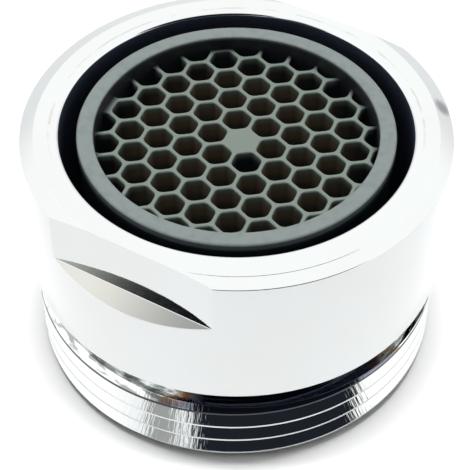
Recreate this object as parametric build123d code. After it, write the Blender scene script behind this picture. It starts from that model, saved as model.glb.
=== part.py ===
from build123d import *
import os
from math import ceil, cos, hypot, pi, radians, sin, tan

# Tap aerator with a male M20 x 1 thread, standing on its inlet end with the outlet honeycomb up.
# A turned, chromed brass housing holds a moulded insert, which drops in from the inlet end and
# hangs by its flange on a seat inside the housing. Two mixing grids, a jet disc and a strainer
# stack up inside the insert, and a rubber washer closes the inlet end and seals on the spout.
# Millimetres. The origin is the centre of the washer's sealing face, and +Z runs to the outlet.

# Housing
thread_d = 20.0          # major diameter of the M20 x 1 thread
thread_length = 3.5      # threaded stretch, from the inlet end face to the relief groove
thread_lead_in = 0.45    # 45 degree chamfer where the thread starts
relief_depth = 0.65      # groove behind the thread, below the thread's crests
relief_width = 1.3
skirt_overhang = 0.17    # skirt beyond the thread's crests, all round
skirt_height = 7.55      # from the relief groove to the crown of the rim
skirt_chamfer = 0.2      # lower edge of the skirt
band_width = 0.65        # sloping band round the rim, from the flat crown out to the skirt
band_drop = 0.2
shoulder_break = 0.08    # broken edge between the band and the skirt
mouth_bevel = 0.15       # 45 degree edge from the crown in to the mouth
thread_wall = 1.13       # wall under the thread's crests, round the inlet bore
seat_width = 0.55        # inner step that carries the insert's flange
flat_depth = 0.92        # spanner flats, below the skirt's surface (18.5 mm across)
flat_height = 2.83       # from the rim down to the flat's lower edge
flat_ledge_angle = 24.5  # ledge under each flat, degrees below the horizontal
flat_azimuth = 59.8      # direction of one flat's normal from +X, the other is opposite

# Sealing washer
washer_thickness = 1.5
washer_width = 1.7       # radial width of its ring
washer_proud = 0.35      # stands out of the housing's inlet end
washer_clearance = 0.1   # radial, in the inlet bore

# Outlet insert
flange_thickness = 1.85
flange_clearance = 0.12  # radial, in the inlet bore
air_gap = 0.8            # open ring between the mouth and the insert's ring
ring_recess = 0.19       # ring's top face below the crown of the rim
ring_width = 0.8         # top face of the insert's ring
ring_lip_height = 0.65
ring_lip_proud = 0.12    # ring beyond the barrel below it
ring_chamfer = 0.2       # outer edge of the ring's top face
honeycomb_recess = 0.78  # honeycomb below the ring's top face
honeycomb_depth = 4.2
cell_across = 1.265      # honeycomb cell, across its flats
cell_wall = 0.225
cell_turn = 8.6          # the honeycomb's turn about the axis, degrees
honeycomb_shift = 0.24   # the honeycomb's centre lies this far from the axis, towards +X
least_cell_share = 0.12  # a border cell with less open area than this stays solid
window_count = 8         # air windows through the barrel
window_width = 2.7
window_height = 1.3
window_offset = 0.35     # from the flange's top to the windows
pocket_wall = 1.05       # flange wall round the pocket for the jet disc and strainer

# Mixing grids
grid_thickness = 0.9     # rim of each grid
grid_web_thickness = 0.4
grid_rim_width = 0.7
grid_clearance = 0.1     # radial, in the barrel
grid_hole = 1.1          # square holes
grid_bar = 0.35
grid_turns = (0.0, 45.0)  # upper and lower grid, so that their bars cross

# Jet disc
disc_thickness = 0.6
disc_clearance = 0.1     # radial, in the flange's pocket
spigot_height = 0.5      # raised middle of the disc, inside the barrel
spigot_clearance = 0.12
jet_hole_d = 0.85
jet_edge_gap = 1.5       # outer row of jets, from the edge of the raised middle
jet_row_gap = 2.3        # between rows
jet_spacing = 3.0        # along a row
leg_count = 4            # legs that hold the grids up against the honeycomb
leg_width = 1.0
leg_depth = 0.6

# Strainer
strainer_rim_thickness = 0.4
basket_clearance = 0.25  # radial, inside the washer
basket_depth = 0.9       # perforated face below the rim
basket_wall = 0.5
strainer_hole = 1.0      # square holes
strainer_bar = 0.35

# Radii and heights that follow from the sizes above
thread_r = thread_d / 2
skirt_r = thread_r + skirt_overhang
relief_r = thread_r - relief_depth
inlet_r = thread_r - thread_wall
mouth_r = inlet_r - seat_width
crown_r = skirt_r - band_width
flat_distance = skirt_r - flat_depth
flange_r = inlet_r - flange_clearance
ring_r = mouth_r - air_gap
barrel_r = ring_r - ring_lip_proud
chamber_r = ring_r - ring_width
pocket_r = flange_r - pocket_wall
disc_r = pocket_r - disc_clearance
grid_r = chamber_r - grid_clearance
spigot_r = chamber_r - spigot_clearance
washer_r = inlet_r - washer_clearance
washer_hole_r = washer_r - washer_width
basket_r = washer_hole_r - basket_clearance

housing_z = washer_proud
thread_top_z = housing_z + thread_length
skirt_z = thread_top_z + relief_width
rim_z = skirt_z + skirt_height
band_z = rim_z - band_drop
ring_z = rim_z - ring_recess
seat_z = washer_thickness + flange_thickness
honeycomb_top_z = ring_z - honeycomb_recess
honeycomb_z = honeycomb_top_z - honeycomb_depth
upper_grid_z = honeycomb_z - grid_thickness
lower_grid_z = upper_grid_z - grid_thickness
strainer_z = washer_thickness
disc_z = strainer_z + strainer_rim_thickness
pocket_top_z = disc_z + disc_thickness
spigot_top_z = pocket_top_z + spigot_height
window_z = seat_z + window_offset
cell_pitch = cell_across + cell_wall
past = 0.5               # how far a cutting shape runs past the face that it opens


def turned(*points):
    """A full turn about the axis of the closed outline through (radius, height) points."""
    outline = make_face(Polyline(*[(radius, 0, height) for radius, height in points], close=True))
    return revolve(outline, Axis.Z)


def tube(outer_r, inner_r, low_z, high_z):
    """A plain ring about the axis between two heights."""
    return turned((inner_r, low_z), (outer_r, low_z), (outer_r, high_z), (inner_r, high_z))


def disc(radius, low_z, high_z):
    """A plain round plate about the axis between two heights."""
    return Pos(0, 0, low_z) * Cylinder(
        radius, high_z - low_z, align=(Align.CENTER, Align.CENTER, Align.MIN)
    )


def edge_at(body, radius, height):
    """The round edge of a turned body at this radius and height."""
    circles = body.edges().filter_by(GeomType.CIRCLE)
    return circles.sort_by(lambda edge: hypot(edge.radius - radius, edge.center().Z - height))[0]


def square_centres(pitch, reach):
    """Centres of a square pattern whose holes lie inside a circle of the given reach."""
    steps = ceil(reach / pitch)
    half_hole = pitch / 2
    for column in range(-steps, steps + 1):
        for row in range(-steps, steps + 1):
            x, y = column * pitch, row * pitch
            if hypot(abs(x) + half_hole, abs(y) + half_hole) < reach + half_hole / 2:
                yield x, y


def perforated(radius, low_z, high_z, hole, bar, turn):
    """A round plate with a square pattern of holes, trimmed at the plate's solid edge."""
    hole_reach = radius - bar
    circle = Circle(hole_reach)
    openings = [Pos(x, y) * Rectangle(hole, hole) & circle
                for x, y in square_centres(hole + bar, hole_reach)]
    plate = Circle(radius) - openings
    return Pos(0, 0, low_z) * Rot(0, 0, turn) * extrude(plate, high_z - low_z)


def make_housing():
    """Turned body: thread stretch, relief groove, skirt, rim with its band, and the stepped bore."""
    body = turned(
        (inlet_r, housing_z),
        (thread_r - thread_lead_in, housing_z),
        (thread_r, housing_z + thread_lead_in),
        (thread_r, thread_top_z),
        (relief_r, thread_top_z),
        (relief_r, skirt_z),
        (skirt_r - skirt_chamfer, skirt_z),
        (skirt_r, skirt_z + skirt_chamfer),
        (skirt_r, band_z),
        (crown_r, rim_z),
        (mouth_r + mouth_bevel, rim_z),
        (mouth_r, rim_z - mouth_bevel),
        (mouth_r, seat_z),
        (inlet_r, seat_z),
    )
    body = chamfer(edge_at(body, skirt_r, band_z), shoulder_break)
    return body - [Rot(0, 0, flat_azimuth + turn) * spanner_cut() for turn in (0, 180)]


def spanner_cut():
    """Metal milled away for one spanner flat, with the ledge that slopes out below it."""
    outer_x = skirt_r + past
    flat_z = rim_z - flat_height
    ledge_end_z = flat_z - (outer_x - flat_distance) * tan(radians(flat_ledge_angle))
    side = Plane.XZ * make_face(Polyline(
        (flat_distance, flat_z),
        (outer_x, ledge_end_z),
        (outer_x, rim_z + past),
        (flat_distance, rim_z + past),
        close=True,
    ))
    return extrude(side, skirt_r, both=True)


def honeycomb_cells():
    """Open cells of the honeycomb: hexagons round a solid middle one, cut off at the ring."""
    inside = Circle(chamber_r)
    corner_r = cell_across / 2 / cos(pi / 6)
    full_area = cell_across**2 * cos(pi / 6)
    turn = radians(cell_turn - 90)
    across = (cell_pitch * cos(turn), cell_pitch * sin(turn))
    slanted = (cell_pitch * cos(turn + pi / 3), cell_pitch * sin(turn + pi / 3))
    reach = ceil(2 * chamber_r / cell_pitch)
    for i in range(-reach, reach + 1):
        for j in range(-reach, reach + 1):
            x = honeycomb_shift + i * across[0] + j * slanted[0]
            y = i * across[1] + j * slanted[1]
            is_middle = i == 0 and j == 0
            if is_middle or hypot(x, y) > chamber_r + corner_r:
                continue
            hexagon = Pos(x, y) * Rot(0, 0, cell_turn) * RegularPolygon(corner_r, 6)
            if hypot(x, y) + corner_r < chamber_r:
                yield hexagon
                continue
            trimmed = hexagon & inside
            if trimmed and trimmed.area > least_cell_share * full_area:
                yield trimmed


def make_outlet_insert():
    """Moulded insert: flange, barrel with air windows, ring and honeycomb in one piece."""
    body = turned(
        (pocket_r, washer_thickness),
        (flange_r, washer_thickness),
        (flange_r, seat_z),
        (barrel_r, seat_z),
        (barrel_r, ring_z - ring_lip_height),
        (ring_r, ring_z - ring_lip_height),
        (ring_r, ring_z),
        (chamber_r, ring_z),
        (chamber_r, pocket_top_z),
        (pocket_r, pocket_top_z),
    )
    body = chamfer(edge_at(body, ring_r, ring_z), ring_chamfer)
    window = Pos(barrel_r, 0, window_z + window_height / 2) * Box(
        2 * ring_width, window_width, window_height
    )
    body -= [Rot(0, 0, k * 360 / window_count) * window for k in range(window_count)]
    web = Circle(chamber_r) - list(honeycomb_cells())
    body += Pos(0, 0, honeycomb_z) * extrude(web, honeycomb_depth)
    return body


def make_mixing_grid(low_z, turn):
    """Moulded disc of crossed bars in a thicker rim, the bars flush with the rim's upper face."""
    rim = tube(grid_r, grid_r - grid_rim_width, low_z, low_z + grid_thickness)
    web_z = low_z + grid_thickness - grid_web_thickness
    return rim + perforated(
        grid_r, web_z, low_z + grid_thickness, grid_hole, grid_bar, turn
    )


def make_jet_disc():
    """Plate with rows of jet holes, on legs that keep both grids against the honeycomb."""
    plate = disc(disc_r, disc_z, pocket_top_z) + disc(spigot_r, pocket_top_z, spigot_top_z)
    jet = disc(jet_hole_d / 2, disc_z - past, spigot_top_z + past)
    row_r = spigot_r - jet_edge_gap
    while row_r > jet_spacing / 2:
        count = round(2 * pi * row_r / jet_spacing)
        plate -= [Rot(0, 0, k * 360 / count) * Pos(row_r, 0, 0) * jet for k in range(count)]
        row_r -= jet_row_gap
    leg_height = lower_grid_z - spigot_top_z
    leg_r = spigot_r - spigot_clearance - leg_depth / 2
    leg = Pos(leg_r, 0, spigot_top_z + leg_height / 2) * Box(leg_depth, leg_width, leg_height)
    window_turn = 180 / window_count
    return plate + [Rot(0, 0, window_turn + k * 360 / leg_count) * leg for k in range(leg_count)]


def make_strainer():
    """Shallow basket with a perforated face towards the inlet and a rim clamped by the washer."""
    face_z = strainer_z - basket_depth
    rim_top_z = strainer_z + strainer_rim_thickness
    rim = tube(disc_r, basket_r - basket_wall, strainer_z, rim_top_z)
    wall = tube(basket_r, basket_r - basket_wall, face_z, strainer_z)
    face = perforated(
        basket_r, face_z, face_z + basket_wall, strainer_hole, strainer_bar, 0
    )
    return rim + wall + face


def make_sealing_washer():
    """Flat rubber ring between the insert's flange and the spout's seat."""
    return tube(washer_r, washer_hole_r, 0, washer_thickness)


nodes = {
    "housing": make_housing(),
    "outlet_insert": make_outlet_insert(),
    "upper_mixing_grid": make_mixing_grid(upper_grid_z, grid_turns[0]),
    "lower_mixing_grid": make_mixing_grid(lower_grid_z, grid_turns[1]),
    "jet_disc": make_jet_disc(),
    "strainer": make_strainer(),
    "sealing_washer": make_sealing_washer(),
}

os.makedirs("parts", exist_ok=True)
for name, shape in nodes.items():
    export_step(shape, f"parts/{name}.step")
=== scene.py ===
from math import cos, hypot, pi, radians, sin, sqrt, tan

import bmesh
import bpy
from mathutils import Matrix, Vector


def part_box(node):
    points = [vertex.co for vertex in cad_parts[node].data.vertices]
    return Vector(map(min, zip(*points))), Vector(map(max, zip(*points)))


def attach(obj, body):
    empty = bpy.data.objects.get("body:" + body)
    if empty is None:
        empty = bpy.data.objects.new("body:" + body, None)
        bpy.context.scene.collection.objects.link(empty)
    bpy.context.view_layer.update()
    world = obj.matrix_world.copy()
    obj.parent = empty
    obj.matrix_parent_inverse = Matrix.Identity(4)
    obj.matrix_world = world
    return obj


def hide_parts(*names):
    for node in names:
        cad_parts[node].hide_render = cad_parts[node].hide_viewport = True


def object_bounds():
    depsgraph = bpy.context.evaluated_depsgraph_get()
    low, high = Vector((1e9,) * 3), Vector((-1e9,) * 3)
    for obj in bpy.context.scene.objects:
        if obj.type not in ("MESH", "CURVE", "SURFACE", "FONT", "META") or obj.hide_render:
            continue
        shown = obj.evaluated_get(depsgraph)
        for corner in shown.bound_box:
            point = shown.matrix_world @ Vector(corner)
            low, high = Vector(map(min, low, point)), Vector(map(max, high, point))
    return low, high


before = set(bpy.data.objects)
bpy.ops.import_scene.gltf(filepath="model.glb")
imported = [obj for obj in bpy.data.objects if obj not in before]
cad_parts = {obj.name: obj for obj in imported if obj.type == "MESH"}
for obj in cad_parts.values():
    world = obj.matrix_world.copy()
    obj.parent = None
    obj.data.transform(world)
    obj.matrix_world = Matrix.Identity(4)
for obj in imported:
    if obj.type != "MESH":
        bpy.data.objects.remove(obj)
cad_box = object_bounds()


# Housing: turned from brass bar and chrome plated. The skirt ends in a sloping band and a flat
# crown round the mouth. A relief groove parts it from the thread, and a step in the bore carries
# the insert.
mm = 0.001
housing_low, housing_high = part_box("housing")
end_z = housing_low.z
rim_z = housing_high.z
skirt_radius = housing_high.x
thread_radius = skirt_radius - 0.17 * mm
thread_top_z = end_z + 3.5 * mm
thread_lead_in = 0.17 * mm
relief_radius = thread_radius - 0.65 * mm
skirt_z = thread_top_z + 1.3 * mm
skirt_edge_round = 0.08 * mm
crown_radius = skirt_radius - 0.65 * mm
crown_step = 0.015 * mm
band_z = rim_z - 0.2 * mm
shoulder_round = 0.035 * mm
inlet_radius = thread_radius - 1.13 * mm
mouth_radius = inlet_radius - 0.55 * mm
mouth_round = 0.16 * mm
seat_z = end_z + 3.0 * mm
turn_steps = 360
round_segments = 8
same_place = 1e-7
merge_distance = 1e-8
cut_merge_distance = 2e-8
housing_smooth_angle = radians(13)


def only_select(piece, kind, test):
    """In edit mode, selects the vertices, edges or faces that pass the test, and no others."""
    bpy.ops.mesh.select_all(action="DESELECT")
    bpy.ops.mesh.select_mode(type={"verts": "VERT", "edges": "EDGE", "faces": "FACE"}[kind])
    mesh = bmesh.from_edit_mesh(piece.data)
    for part in getattr(mesh, kind):
        if test(part):
            part.select_set(True)
    bmesh.update_edit_mesh(piece.data)


def turned(name, outline, rounds=None, steps=turn_steps):
    """Draws a closed outline of (radius, height) points, rounds some corners, and turns it."""
    bpy.ops.object.select_all(action="DESELECT")
    bpy.ops.mesh.primitive_plane_add(size=mm, location=(0, 0, 0))
    piece = bpy.context.object
    piece.name = piece.data.name = name
    bpy.ops.object.mode_set(mode="EDIT")
    bpy.ops.mesh.merge(type="CENTER")
    bpy.ops.transform.translate(value=(outline[0][0], 0, outline[0][1]))
    for (radius, height), (next_radius, next_height) in zip(outline, outline[1:]):
        step = (next_radius - radius, 0, next_height - height)
        bpy.ops.mesh.extrude_vertices_move(TRANSFORM_OT_translate={"value": step})
    ends = [Vector((radius, 0, height)) for radius, height in (outline[0], outline[-1])]
    only_select(piece, "verts", lambda v: any((v.co - end).length < same_place for end in ends))
    bpy.ops.mesh.edge_face_add()
    for (radius, height), size in (rounds or {}).items():
        corner = Vector((radius, 0, height))
        only_select(piece, "verts", lambda v: (v.co - corner).length < same_place)
        bpy.ops.mesh.bevel(affect="VERTICES", offset=size, segments=round_segments)
    bpy.ops.mesh.select_all(action="SELECT")
    bpy.ops.mesh.spin(steps=steps, angle=2 * pi, center=(0, 0, 0), axis=(0, 0, 1))
    bpy.ops.mesh.select_all(action="SELECT")
    bpy.ops.mesh.remove_doubles(threshold=merge_distance)
    bpy.ops.mesh.normals_make_consistent(inside=False)
    bpy.ops.object.mode_set(mode="OBJECT")
    return piece


def combine(piece, tool, operation):
    """Cuts the tool out of a piece, keeps what they share or joins them, and removes the tool."""
    bpy.ops.object.select_all(action="DESELECT")
    bpy.context.view_layer.objects.active = piece
    piece.select_set(True)
    change = piece.modifiers.new("combine", "BOOLEAN")
    change.operation = operation
    change.solver = "EXACT"
    change.object = tool
    bpy.ops.object.modifier_apply(modifier=change.name)
    bpy.data.objects.remove(tool)


housing = turned(
    "chromed_housing",
    [
        (inlet_radius, end_z),
        (thread_radius - thread_lead_in, end_z),
        (thread_radius, end_z + thread_lead_in),
        (thread_radius, thread_top_z),
        (relief_radius, thread_top_z),
        (relief_radius, skirt_z),
        (skirt_radius, skirt_z),
        (skirt_radius, band_z),
        (crown_radius + crown_step, rim_z - crown_step),
        (crown_radius, rim_z),
        (mouth_radius, rim_z),
        (mouth_radius, seat_z),
        (inlet_radius, seat_z),
    ],
    {
        (skirt_radius, skirt_z): skirt_edge_round,
        (skirt_radius, band_z): shoulder_round,
        (mouth_radius, rim_z): mouth_round,
    },
)

# Its thread is cut as on a lathe: a V-shaped tool runs up a helix of 1 mm pitch from below the
# end face, and comes out in the relief groove.
thread_pitch = 1.0 * mm
root_radius = thread_radius - 0.43 * mm
root_half = 0.02 * mm
tool_radius = thread_radius + 0.04 * mm
tool_half = root_half + (tool_radius - root_radius)
tool_start_z = -0.667 * mm
tool_turns = 5
half_step = radians(180 / turn_steps)
plane_half = 0.5

bpy.ops.object.select_all(action="DESELECT")
bpy.ops.mesh.primitive_plane_add(size=2 * plane_half, rotation=(pi / 2, 0, 0), location=(0, 0, 0))
thread_tool = bpy.context.object
bpy.ops.object.transform_apply(location=False, rotation=True, scale=False)
bpy.ops.object.mode_set(mode="EDIT")
bpy.ops.mesh.delete(type="ONLY_FACE")
for inner, radius, half in ((True, root_radius, root_half), (False, tool_radius, tool_half)):
    only_select(thread_tool, "verts", lambda v: (
        (v.co.x < 0) == inner and abs(v.co.x) > plane_half / 2))
    bpy.ops.transform.resize(value=(1, 1, half / plane_half))
    inwards = radius + (plane_half if inner else -plane_half)
    bpy.ops.transform.translate(value=(inwards, 0, tool_start_z))
bpy.ops.object.mode_set(mode="OBJECT")
thread_tool.rotation_euler = (0, 0, half_step)
bpy.ops.object.transform_apply(location=False, rotation=True, scale=False)
helix = thread_tool.modifiers.new("helix", "SCREW")
helix.angle = 2 * pi * tool_turns
helix.screw_offset = thread_pitch * tool_turns
helix.steps = helix.render_steps = turn_steps * tool_turns
helix.use_merge_vertices = False
bpy.ops.object.modifier_apply(modifier=helix.name)
bpy.ops.object.mode_set(mode="EDIT")
bpy.ops.mesh.select_all(action="SELECT")
bpy.ops.mesh.fill_holes(sides=4)
bpy.ops.mesh.normals_make_consistent(inside=False)
bpy.ops.object.mode_set(mode="OBJECT")
combine(housing, thread_tool, "DIFFERENCE")

# Two spanner flats are milled into the skirt below the rim, opposite each other. The cutter leaves
# a ledge under each that slopes down and out.
flat_distance = skirt_radius - 0.92 * mm
flat_z = rim_z - 2.83 * mm
flat_azimuth = radians(59.8)
ledge_slope = radians(24.5)
cutter_reach = 2 * mm

for azimuth in (flat_azimuth, flat_azimuth + pi):
    bpy.ops.object.select_all(action="DESELECT")
    bpy.ops.mesh.primitive_cube_add(size=1, location=(0, 0, 0))
    mill = bpy.context.object
    bpy.ops.object.mode_set(mode="EDIT")
    bpy.ops.mesh.select_all(action="SELECT")
    cutter_top = rim_z + cutter_reach
    bpy.ops.transform.resize(value=(cutter_reach, 2 * skirt_radius, cutter_top - flat_z))
    centre = (flat_distance + cutter_reach / 2, 0, (cutter_top + flat_z) / 2)
    bpy.ops.transform.translate(value=centre)
    only_select(mill, "verts", lambda v: v.co.x > centre[0] and v.co.z < centre[2])
    bpy.ops.transform.translate(value=(0, 0, -cutter_reach * tan(ledge_slope)))
    bpy.ops.object.mode_set(mode="OBJECT")
    mill.rotation_euler = (0, 0, azimuth)
    bpy.ops.object.transform_apply(location=False, rotation=True, scale=False)
    combine(housing, mill, "DIFFERENCE")

bpy.ops.object.mode_set(mode="EDIT")
bpy.ops.mesh.select_all(action="SELECT")
bpy.ops.mesh.remove_doubles(threshold=cut_merge_distance)
only_select(housing, "verts", lambda v: len(v.link_edges) == 2)
bpy.ops.mesh.dissolve_verts()
bpy.ops.object.mode_set(mode="OBJECT")
bpy.ops.object.shade_smooth_by_angle(angle=housing_smooth_angle)


# The plating is bright chrome with a trace of haze and faint polishing marks round the axis. In the
# bore it is dull and painted dark bluish: painted shade in the air gap. The lathe left chatter marks
# on the thread, and the milled ledges are duller. The crown is worn near the mouth. The relief groove
# is smeared, with brass showing through, and painted dark towards the front: painted shade under the
# skirt and a painted reflection of the dark room. The topmost crest is painted dark: painted shade.
class Wire:
    """A socket in a material's node tree, so that shader maths can be written as Python sums."""

    def __init__(self, tree, socket=None):
        self.tree = tree
        self.socket = socket

    def node(self, kind, settings=None, inputs=None, output=0):
        """Adds a node with these settings, values and links, and returns one of its outputs."""
        made = self.tree.nodes.new(kind)
        for name, value in (settings or {}).items():
            setattr(made, name, value)
        for name, value in (inputs or {}).items():
            if isinstance(value, Wire):
                self.tree.links.new(value.socket, made.inputs[name])
            else:
                made.inputs[name].default_value = value
        return Wire(self.tree, made.outputs[output])

    def maths(self, operation, *values):
        return self.node("ShaderNodeMath", {"operation": operation}, dict(enumerate(values)))

    def __add__(self, other):
        return self.maths("ADD", self, other)

    def __sub__(self, other):
        return self.maths("SUBTRACT", self, other)

    def __rsub__(self, other):
        return self.maths("SUBTRACT", other, self)

    def __mul__(self, other):
        return self.maths("MULTIPLY", self, other)

    def __truediv__(self, other):
        return self.maths("DIVIDE", self, other)

    def __pow__(self, other):
        return self.maths("POWER", self, other)

    __radd__ = __add__
    __rmul__ = __mul__

    def rise(self, low, high, start=0.0, end=1.0):
        """Goes smoothly from start to end while this value goes from low to high."""
        return self.node("ShaderNodeMapRange", {"interpolation_type": "SMOOTHSTEP"}, {
            "Value": self, "From Min": low, "From Max": high, "To Min": start, "To Max": end})

    def noise(self, scale, detail):
        """Cloudy noise at this point."""
        return self.node("ShaderNodeTexNoise", {}, {
            "Vector": self, "Scale": scale, "Detail": detail})

    def vector(self, first, second, third):
        """A vector of three values."""
        return self.node("ShaderNodeCombineXYZ", {}, {0: first, 1: second, 2: third})

    def mix(self, first, second):
        """A colour between two others, by this value."""
        return self.node("ShaderNodeMix", {"data_type": "RGBA"}, {
            "Factor": self, 6: colour_of(first), 7: colour_of(second)}, 2)


def colour_of(value):
    """A colour that a socket takes, with its alpha."""
    return value if isinstance(value, Wire) else (*value, 1)


def finish_of(name, **constants):
    """A new material and its node tree, with what is the same all over the surface set."""
    material = bpy.data.materials.new(name)
    material.use_nodes = True
    tree = material.node_tree
    shader = tree.nodes["Principled BSDF"]
    for socket, value in constants.items():
        shader.inputs[socket.replace("_", " ")].default_value = value
    return material, Wire(tree)


def feed(wire, **sockets):
    """Links what varies over the surface to the shader's sockets."""
    shader = wire.tree.nodes["Principled BSDF"]
    for name, value in sockets.items():
        wire.tree.links.new(value.socket, shader.inputs[name.replace("_", " ")])


def object_place(wire):
    """Object coordinates in millimetres: the point, its X, Y and Z, and how far the axis is."""
    metres = wire.node("ShaderNodeTexCoord", {}, {}, "Object")
    point = wire.node("ShaderNodeVectorMath", {"operation": "SCALE"}, {0: metres, "Scale": 1 / mm})
    axes = [wire.node("ShaderNodeSeparateXYZ", {}, {0: point}, axis) for axis in range(3)]
    from_axis = (axes[0] * axes[0] + axes[1] * axes[1]) ** 0.5
    return point, *axes, from_axis


chrome, wire = finish_of("chrome_plate", Metallic=1.0)
point, x, y, z, from_axis = object_place(wire)
cool_chrome = (0.59, 0.612, 0.614)
warm_chrome = (0.585, 0.598, 0.592)
# The bore's colour is dull plating painted dark bluish: painted shade in the air gap round the ring.
bore_dull_and_shade = (0.16, 0.20, 0.29)
groove_silver = (0.80, 0.82, 0.81)
groove_smear = (0.27, 0.285, 0.28)
groove_brass = (0.26, 0.17, 0.12)
# The groove's dark bluish colour: painted shade under the skirt and a painted reflection of the dark
# room.
groove_painted_shade = (0.14, 0.152, 0.19)
# The topmost crest's near-black: painted shade under the skirt.
crest_painted_shade = (0.05, 0.052, 0.062)
worn_brown = (0.42, 0.40, 0.37)
mill_light = (0.51, 0.51, 0.475)
mill_dull = (0.215, 0.222, 0.216)
rim_mm, skirt_mm, thread_top_mm = rim_z / mm, skirt_z / mm, thread_top_z / mm
mouth_mm, thread_mm, skirt_side_mm = mouth_radius / mm, thread_radius / mm, skirt_radius / mm
angle = wire.maths("ARCTAN2", y, x)
patches = point.noise(scale=0.22, detail=3.0)
haze = point.noise(scale=1.7, detail=4.0)
marks_per_mm = 14.0
marks_place = wire.vector(from_axis * marks_per_mm, z * marks_per_mm, patches)
marks = marks_place.noise(scale=1.0, detail=2.0)
chatter_per_radian, chatter_per_mm = 75.0, 0.9
chatter_place = wire.vector(
    angle * chatter_per_radian, z * chatter_per_mm, from_axis * chatter_per_mm)
chatter = chatter_place.noise(scale=1.0, detail=2.0)
smears_per_radian, smears_per_mm = 9.0, 3.0
smear_place = wire.vector(angle * smears_per_radian, z * smears_per_mm, from_axis * smears_per_mm)
smear = smear_place.noise(scale=1.0, detail=2.0)

# The thread, its topmost crest, and the bore.
on_thread = z.rise(thread_top_mm + 0.02, thread_top_mm - 0.05)
on_crest = from_axis.rise(thread_mm - 0.05, thread_mm - 0.01)
shaded_top_crest = on_thread * on_crest * z.rise(thread_top_mm - 0.9, thread_top_mm - 0.5)
in_bore = from_axis.rise(mouth_mm + 0.1, mouth_mm + 0.03) * z.rise(rim_mm - 0.07, rim_mm - 0.15)

# The relief groove, and in front the thread's last run-out above the top ridge as well, which takes
# the groove's painted shade.
below_skirt = z.rise(skirt_mm + 0.1, skirt_mm)
above_thread = z.rise(thread_top_mm - 0.1, thread_top_mm)
inside_thread = from_axis.rise(thread_mm + 0.05, thread_mm - 0.05)
turns = wire.maths("ARCTAN2", x, y * -1.0) / (2 * pi)
ridges_up = 4.25
top_ridge_mm = (tool_start_z + ridges_up * thread_pitch) / mm
above_ridge = (z - turns * (thread_pitch / mm)).rise(top_ridge_mm + 0.04, top_ridge_mm + 0.1)
off_crest = from_axis.rise(thread_mm, thread_mm - 0.06)
run_out = above_ridge * off_crest * below_skirt * y.rise(5.0, 2.0)
in_groove = wire.maths("MAXIMUM", inside_thread * above_thread * below_skirt, run_out)
front_half = y.rise(2.0, -2.0)
# A direction towards the camera side, near the dark room: the further the groove lies that way, the
# more it goes brass and then is painted dark bluish.
shaded_side = (0.267, -0.964)
towards_shade = x * shaded_side[0] + y * shaded_side[1] + haze * 0.8
plating = patches.rise(0.35, 0.7).mix(cool_chrome, warm_chrome)
groove = front_half.mix(plating, groove_silver)
groove = (smear.rise(0.42, 0.62) * y.rise(2.0, -2.0, 0.12, 1.0)).mix(groove, groove_smear)
# Brass shows through at the edge; the dark bluish beyond it is painted shade under the skirt and a
# painted reflection of the dark room.
groove = towards_shade.rise(8.1, 8.5).mix(groove, groove_brass)
groove = towards_shade.rise(8.45, 8.85).mix(groove, groove_painted_shade)
plating = in_groove.mix(plating, groove)

# The milled ledges, the painted shade on the topmost crest, and the worn line on the crown.
across_flats = x * cos(flat_azimuth) + y * sin(flat_azimuth)
along_flat = y * cos(flat_azimuth) - x * sin(flat_azimuth)
from_flat = (across_flats * across_flats) ** 0.5 - flat_distance / mm
inside_skirt = from_axis.rise(skirt_side_mm - 0.005, skirt_side_mm - 0.05)
ledge_height = z.rise(flat_z / mm + 0.02, flat_z / mm) * z.rise(skirt_mm, skirt_mm + 1)
on_ledge = from_flat.rise(0.01, 0.04) * inside_skirt * ledge_height
milled = along_flat.rise(2.5, -4.0).mix(mill_light, mill_dull)
plating = on_ledge.mix(plating, milled)
# The topmost crest is painted near-black: painted shade under the skirt's overhang.
plating = shaded_top_crest.mix(plating, crest_painted_shade)
from_mouth = from_axis - mouth_mm
on_crown = z.rise(rim_mm - 0.01, rim_mm - 0.005) * y.rise(-3.0, 0.0)
worn_line = from_mouth.rise(0.36, 0.44) * from_mouth.rise(0.56, 0.47) * smear.rise(0.38, 0.62)
worn_strength = 0.5
plating = (worn_line * on_crown * worn_strength).mix(plating, worn_brown)

polish, haze_dulls, bore_dulls, mill_dulls = 0.035, 0.03, 0.4, 0.07
edge_softness = 0.02 * mm
chatter_depth = 0.009 * mm
marks_share = 0.04
dullness = polish + haze.rise(0.45, 0.8) * haze_dulls + in_bore * bore_dulls + on_ledge * mill_dulls
edge_normal = wire.node("ShaderNodeBevel", {"samples": 6}, {"Radius": edge_softness})
feed(
    wire,
    # The bore takes its dark bluish colour here: painted shade.
    Base_Color=in_bore.mix(plating, bore_dull_and_shade),
    Roughness=dullness,
    Normal=wire.node("ShaderNodeBump", {}, {
        "Strength": 1.0, "Distance": chatter_depth, "Normal": edge_normal,
        "Height": chatter * on_thread + marks * marks_share}),
)
housing.data.materials.append(chrome)
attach(housing, "root")
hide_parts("housing")


# Outlet insert: one grey acetal moulding. Its ring stands in the mouth with an air gap all round,
# and a flange at the foot of its barrel hangs on the housing's step. Windows in the barrel let air
# in.
insert_low, insert_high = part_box("outlet_insert")
flange_radius = insert_high.x
flange_z = insert_low.z
ring_z = insert_high.z
ring_radius = mouth_radius - 0.8 * mm
ring_round = 0.13 * mm
ring_inner_round = 0.1 * mm
barrel_radius = ring_radius - 0.12 * mm
lip_z = ring_z - 0.65 * mm
chamber_radius = ring_radius - 0.8 * mm
pocket_radius = flange_radius - 1.05 * mm
pocket_z = flange_z + 1.0 * mm
window_count = 8
window_size = (1.6 * mm, 2.7 * mm, 1.3 * mm)
window_z = seat_z + 0.35 * mm
window_turn = 0.004
insert_steps = 240
insert_smooth_angle = radians(25)

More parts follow.
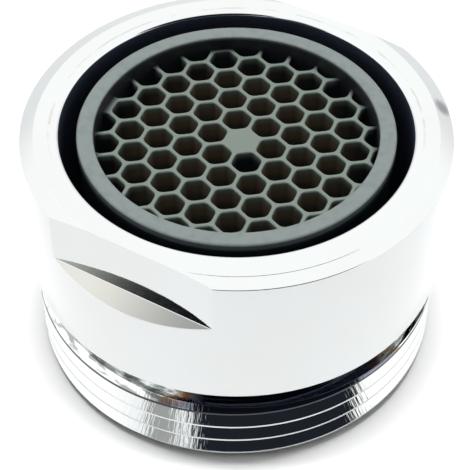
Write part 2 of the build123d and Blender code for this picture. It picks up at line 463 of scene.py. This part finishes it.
insert = turned(
    "outlet_insert_moulding",
    [
        (pocket_radius, flange_z),
        (flange_radius, flange_z),
        (flange_radius, seat_z),
        (barrel_radius, seat_z),
        (barrel_radius, lip_z),
        (ring_radius, lip_z),
        (ring_radius, ring_z),
        (chamber_radius, ring_z),
        (chamber_radius, pocket_z),
        (pocket_radius, pocket_z),
    ],
    {(ring_radius, ring_z): ring_round, (chamber_radius, ring_z): ring_inner_round},
    steps=insert_steps,
)
for number in range(window_count):
    bpy.ops.object.select_all(action="DESELECT")
    bpy.ops.mesh.primitive_cube_add(size=1, location=(0, 0, 0))
    window = bpy.context.object
    bpy.ops.object.mode_set(mode="EDIT")
    bpy.ops.transform.resize(value=window_size)
    bpy.ops.transform.translate(value=(barrel_radius, 0, window_z + window_size[2] / 2))
    bpy.ops.object.mode_set(mode="OBJECT")
    window.rotation_euler = (0, 0, number * 2 * pi / window_count + window_turn)
    bpy.ops.object.transform_apply(location=False, rotation=True, scale=False)
    combine(insert, window, "DIFFERENCE")

# The honeycomb across the barrel is part of the same moulding. One cell is modelled with rounded
# corners and soft upper edges, then copied over the pattern, which is cut off at the ring.
cell_across = 1.265 * mm
cell_wall = 0.225 * mm
cell_pitch = cell_across + cell_wall
cell_turn = radians(8.6)
cell_corner_round = 0.13 * mm
corner_segments = 3
wall_top_round = 0.1 * mm
wall_top_segments = 4
honeycomb_shift = 0.24 * mm
honeycomb_z = ring_z - 0.78 * mm
honeycomb_depth = 4.2 * mm
open_reach = chamber_radius + 0.38 * mm
web_radius = chamber_radius + 0.25 * mm
web_turn = radians(0.3)
pattern_reach = 11
cell_merge_distance = 0.005 * mm


def honeycomb_cell(name, is_open):
    """One hexagon of the pattern, from wall middle to wall middle, with or without its opening."""
    place = {"location": (0, 0, honeycomb_z), "rotation": (0, 0, cell_turn - pi / 6)}
    bpy.ops.object.select_all(action="DESELECT")
    bpy.ops.mesh.primitive_circle_add(vertices=6, radius=cell_pitch / sqrt(3), **place)
    cell = bpy.context.object
    cell.name = name
    bpy.ops.object.transform_apply(location=True, rotation=True, scale=True)
    bpy.ops.object.mode_set(mode="EDIT")
    bpy.ops.mesh.select_all(action="SELECT")
    bpy.ops.mesh.subdivide(number_cuts=corner_segments)
    if is_open:
        bpy.ops.mesh.select_all(action="DESELECT")
        bpy.ops.mesh.primitive_circle_add(vertices=6, radius=cell_across / sqrt(3), **place)
        bpy.ops.mesh.bevel(affect="VERTICES", offset=cell_corner_round, segments=corner_segments)
        bpy.ops.mesh.select_all(action="SELECT")
        bpy.ops.mesh.bridge_edge_loops()
    else:
        bpy.ops.mesh.edge_face_add()
    bpy.ops.mesh.select_all(action="SELECT")
    bpy.ops.mesh.duplicate_move(TRANSFORM_OT_translate={"value": (0, 0, -honeycomb_depth)})
    if is_open:
        inner = cell_across / sqrt(3)
        only_select(cell, "edges", lambda e: all(hypot(*v.co.xy) < inner for v in e.verts))
        bpy.ops.mesh.bridge_edge_loops()
        bpy.ops.mesh.select_all(action="SELECT")
        bpy.ops.mesh.normals_make_consistent(inside=False)
        only_select(cell, "edges", lambda e: all(
            hypot(*v.co.xy) < inner and v.co.z > honeycomb_z - same_place for v in e.verts))
        bpy.ops.mesh.bevel(affect="EDGES", offset=wall_top_round, segments=wall_top_segments)
    bpy.ops.object.mode_set(mode="OBJECT")
    return cell


open_cell = honeycomb_cell("open_cell", True)
solid_cell = honeycomb_cell("solid_cell", False)
across = Vector((cos(cell_turn - pi / 2), sin(cell_turn - pi / 2), 0)) * cell_pitch
slanted = Vector((cos(cell_turn - pi / 6), sin(cell_turn - pi / 6), 0)) * cell_pitch
pattern_middle = Vector((honeycomb_shift, 0, 0))
pattern = []
for column in range(-pattern_reach, pattern_reach + 1):
    for row in range(-pattern_reach, pattern_reach + 1):
        centre = pattern_middle + column * across + row * slanted
        if centre.length > chamber_radius + cell_pitch:
            continue
        is_open = (column, row) != (0, 0) and centre.length < open_reach
        source = open_cell if is_open else solid_cell
        copy = bpy.data.objects.new("cell", source.data.copy())
        bpy.context.scene.collection.objects.link(copy)
        copy.data.transform(Matrix.Translation(centre))
        pattern.append(copy)
bpy.ops.object.select_all(action="DESELECT")
for cell in pattern:
    cell.select_set(True)
web = pattern[0]
bpy.context.view_layer.objects.active = web
bpy.ops.object.join()
for source in (open_cell, solid_cell):
    bpy.data.objects.remove(source)
bpy.ops.object.mode_set(mode="EDIT")
bpy.ops.mesh.select_all(action="SELECT")
bpy.ops.mesh.remove_doubles(threshold=cell_merge_distance)
only_select(web, "edges", lambda e: e.is_boundary)
bpy.ops.mesh.bridge_edge_loops()
bpy.ops.mesh.select_all(action="SELECT")
bpy.ops.mesh.normals_make_consistent(inside=False)
bpy.ops.object.mode_set(mode="OBJECT")

bpy.ops.object.select_all(action="DESELECT")
bpy.ops.mesh.primitive_cylinder_add(
    vertices=insert_steps, radius=web_radius, depth=2 * honeycomb_depth,
    location=(0, 0, honeycomb_z - honeycomb_depth / 2), rotation=(0, 0, web_turn))
round_cut = bpy.context.object
bpy.ops.object.transform_apply(location=True, rotation=True, scale=True)
combine(web, round_cut, "INTERSECT")
combine(insert, web, "UNION")
bpy.ops.object.mode_set(mode="EDIT")
only_select(insert, "verts", lambda v: len(v.link_edges) == 2)
bpy.ops.mesh.dissolve_verts()
bpy.ops.object.mode_set(mode="OBJECT")
bpy.ops.object.shade_smooth_by_angle(angle=insert_smooth_angle)

# Its acetal is satin grey, with a faint mottle on the ring's face. Below that face the ring's sides
# are painted near-black as painted shade. The cells are stained brown near their tops and painted
# darker below and near the ring as painted shade, and one cell is black.
acetal, wire = finish_of("grey_acetal", IOR=1.48)
point, x, y, z, from_axis = object_place(wire)
ring_grey = (0.155, 0.182, 0.177)
wall_grey = (0.129, 0.160, 0.138)
mottle_grey = (0.132, 0.157, 0.153)
cell_stain = (0.102, 0.080, 0.050)
# Near-black for the one black cell, and for the painted shade on the ring's sides and in the cells.
black_stain_and_shade = (0.008, 0.010, 0.014)
ring_mm, web_mm = ring_z / mm, honeycomb_z / mm
chamber_mm, ring_side_mm = chamber_radius / mm, ring_radius / mm
mottle = point.noise(scale=2.3, detail=5.0)
grain = point.noise(scale=18.0, detail=3.0)
face_grey = mottle.rise(0.4, 0.75).mix(ring_grey, mottle_grey)
# Below the ring's face, its outer and inner sides are painted near-black: painted shade in the air
# gap and the chamber. The outer side goes dark from a little higher up.
outer_side = from_axis.rise(ring_side_mm - 0.5, ring_side_mm - 0.3)
on_ring = (z + outer_side * 0.2).rise(ring_mm - 0.26, ring_mm - 0.06)
above_web = z.rise(web_mm + 0.02, web_mm + 0.08)
# The wall tops keep the wall grey, and the walls are painted darker below them and near the ring:
# painted shade.
on_wall = z.rise(web_mm - 0.5, web_mm - 0.01) * from_axis.rise(chamber_mm, chamber_mm - 0.45)
# Inside the cells the brown stain gives way to near-black near the ring and deeper down: painted
# shade.
shade_near_ring = from_axis.rise(chamber_mm - 2.2, chamber_mm - 0.4)
shade_in_depth = z.rise(web_mm - 0.5, web_mm - 1.3) * 0.75
cell_stain_and_shade = wire.maths("MAXIMUM", shade_near_ring, shade_in_depth).mix(cell_stain, black_stain_and_shade)
black_x, black_y = (pattern_middle + across).xy / mm
from_black = ((x - black_x) * (x - black_x) + (y - black_y) * (y - black_y)) ** 0.5
cell_stain_and_shade = from_black.rise(0.8, 0.74).mix(cell_stain_and_shade, black_stain_and_shade)
web_grey = on_wall.mix(cell_stain_and_shade, wall_grey)
surface_grey = above_web.mix(web_grey, on_ring.mix(black_stain_and_shade, face_grey))
satin, mottle_dulls = 0.42, 0.14
grain_depth = 0.02 * mm
feed(
    wire,
    Base_Color=surface_grey,
    Roughness=satin + mottle.rise(0.3, 0.8) * mottle_dulls,
    Normal=wire.node("ShaderNodeBump", {}, {
        "Strength": 0.12, "Distance": grain_depth, "Height": grain}),
)
insert.data.materials.append(acetal)
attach(insert, "root")
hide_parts("outlet_insert")


# Mixing grids, jet disc and strainer: white acetal mouldings stacked below the honeycomb. Their
# shape is the one in model.glb, and only hard-water stains mark the plastic.
stained_acetal, wire = finish_of("white_acetal", IOR=1.48)
point = object_place(wire)[0]
clean_white = (0.50, 0.485, 0.44)
lime_stain = (0.27, 0.225, 0.165)
stain_strength = 0.8
stain = point.noise(scale=0.9, detail=6.0)
speckle = point.noise(scale=14.0, detail=2.0)
speckle_dulls = 0.2
feed(
    wire,
    Base_Color=(stain.rise(0.45, 0.75) * stain_strength).mix(clean_white, lime_stain),
    Roughness=0.4 + speckle.rise(0.3, 0.7) * speckle_dulls,
    Normal=wire.node("ShaderNodeBump", {}, {
        "Strength": 0.1, "Distance": grain_depth, "Height": speckle}),
)
for name in ("upper_mixing_grid", "lower_mixing_grid", "jet_disc", "strainer"):
    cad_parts[name].material_slots[0].material = stained_acetal


# Sealing washer: a flat ring of black rubber, pressed into the inlet end under the strainer's rim.
# It stands a little proud of the brass, so the part rests on it.
rubber, wire = finish_of("black_rubber", IOR=1.52)
point = object_place(wire)[0]
clean_rubber = (0.022, 0.022, 0.023)
dusty_rubber = (0.055, 0.054, 0.051)
bloom_dulls = 0.2
pore_depth = 0.02 * mm
bloom = point.noise(scale=1.6, detail=5.0)
pores = point.noise(scale=25.0, detail=2.0)
feed(
    wire,
    Base_Color=bloom.rise(0.4, 0.75).mix(clean_rubber, dusty_rubber),
    Roughness=0.6 + bloom.rise(0.3, 0.8) * bloom_dulls,
    Normal=wire.node("ShaderNodeBump", {}, {
        "Strength": 0.25, "Distance": pore_depth, "Height": pores}),
)
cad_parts["sealing_washer"].material_slots[0].material = rubber


# Table: a plain pale sheet of paper, laid flat under the part. It is stage only, and shows the
# part's soft shadow.
table_size = 1.6
bpy.ops.object.select_all(action="DESELECT")
bpy.ops.mesh.primitive_plane_add(size=table_size, location=(0, 0, cad_box[0][2]))
table = bpy.context.object
table.name = "table"
paper, wire = finish_of("pale_table", Roughness=0.6)
paper_shade = (0.86, 0.86, 0.86)
paper_white = (0.88, 0.88, 0.88)
fibres = object_place(wire)[0].noise(scale=0.15, detail=4.0)
feed(wire, Base_Color=fibres.mix(paper_shade, paper_white))
table.data.materials.append(paper)


# Light: white reflectors all round for the chrome to mirror, brightest at the sides, a grey screen at
# the left, a small grey door behind and a dark room towards the camera, which sees plain white. Two
# soft lamps above light the table and the plastics, and show no image of themselves.
back_white = (1.25, 1.25, 1.26)
top_white = (1.58, 1.58, 1.57)
side_white = (1.72, 1.72, 1.72)
screen_grey = (0.55, 0.56, 0.55)
door_grey = (0.56, 0.57, 0.60)
room_dark = (0.02, 0.024, 0.034)
world = bpy.data.worlds.new("reflectors")
bpy.context.scene.world = world
world.use_nodes = True
world.cycles_visibility.diffuse = False
wire = Wire(world.node_tree)
direction = wire.node("ShaderNodeTexCoord", {}, {}, "Generated")


def patch(azimuth, rise, inner, outer):
    """A round area of the surroundings about one direction, in degrees: 1 inside and 0 outside."""
    flat = cos(radians(rise))
    middle = (flat * cos(radians(azimuth)), flat * sin(radians(azimuth)), sin(radians(rise)))
    towards = wire.node("ShaderNodeVectorMath", {"operation": "DOT_PRODUCT"}, {
        0: direction, 1: middle}, "Value")
    return towards.rise(cos(radians(outer)), cos(radians(inner)))


sideways = wire.node("ShaderNodeSeparateXYZ", {}, {0: direction}, 0)
upwards = wire.node("ShaderNodeSeparateXYZ", {}, {0: direction}, 2)
colour = upwards.rise(0.42, 0.64).mix(back_white, top_white)
colour = (sideways * sideways).rise(0.3, 0.75).mix(colour, side_white)
for azimuth, rise, inner, outer, shade in (
        (230, 33, 5, 9, screen_grey),
        (59.3, 23.6, 0.2, 2.5, door_grey),
        (291, 33, 34.5, 40, room_dark),
        (234, 6.5, 16.5, 21.5, room_dark)):
    colour = patch(azimuth, rise, inner, outer).mix(colour, shade)
seen = wire.node("ShaderNodeLightPath", {}, {}, "Is Camera Ray")
colour = seen.mix(colour, back_white)
background = world.node_tree.nodes["Background"]
world.node_tree.links.new(colour.socket, background.inputs["Color"])

for name, place, width, depth, power in (
        ("key_lamp", (0, 115, 3000), 1400, 260, 115),
        ("fill_lamp", (0, -600, 2400), 3000, 3000, 26)):
    bpy.ops.object.select_all(action="DESELECT")
    bpy.ops.object.light_add(type="AREA", location=[at * mm for at in place])
    lamp = bpy.context.object
    lamp.name = name
    lamp.data.shape = "RECTANGLE"
    lamp.data.size = width * mm
    lamp.data.size_y = depth * mm
    lamp.data.energy = power
    lamp.visible_glossy = False


# Camera: where the photograph was taken from, looking down at the honeycomb with a long lens. The
# colours are plain, with no film curve.
camera_rise = radians(46.51)
camera_roll = radians(0.249)
camera_lens = 118.17
camera_sensor = 36
camera_x, camera_y, camera_above = -0.053 * mm, -53.423 * mm, 49.811 * mm
nearest_seen = 1 * mm
bpy.context.scene.view_settings.view_transform = "Standard"
lens = bpy.data.cameras.new("camera")
lens.sensor_width = camera_sensor
lens.lens = camera_lens
lens.clip_start = nearest_seen
camera = bpy.data.objects.new("camera", lens)
bpy.context.scene.collection.objects.link(camera)
camera.location = (camera_x, camera_y, honeycomb_z + camera_above)
tilt = Matrix.Rotation(pi / 2 - camera_rise, 3, "X")
camera.rotation_euler = (tilt @ Matrix.Rotation(camera_roll, 3, "Z")).to_euler()
bpy.context.scene.camera = camera
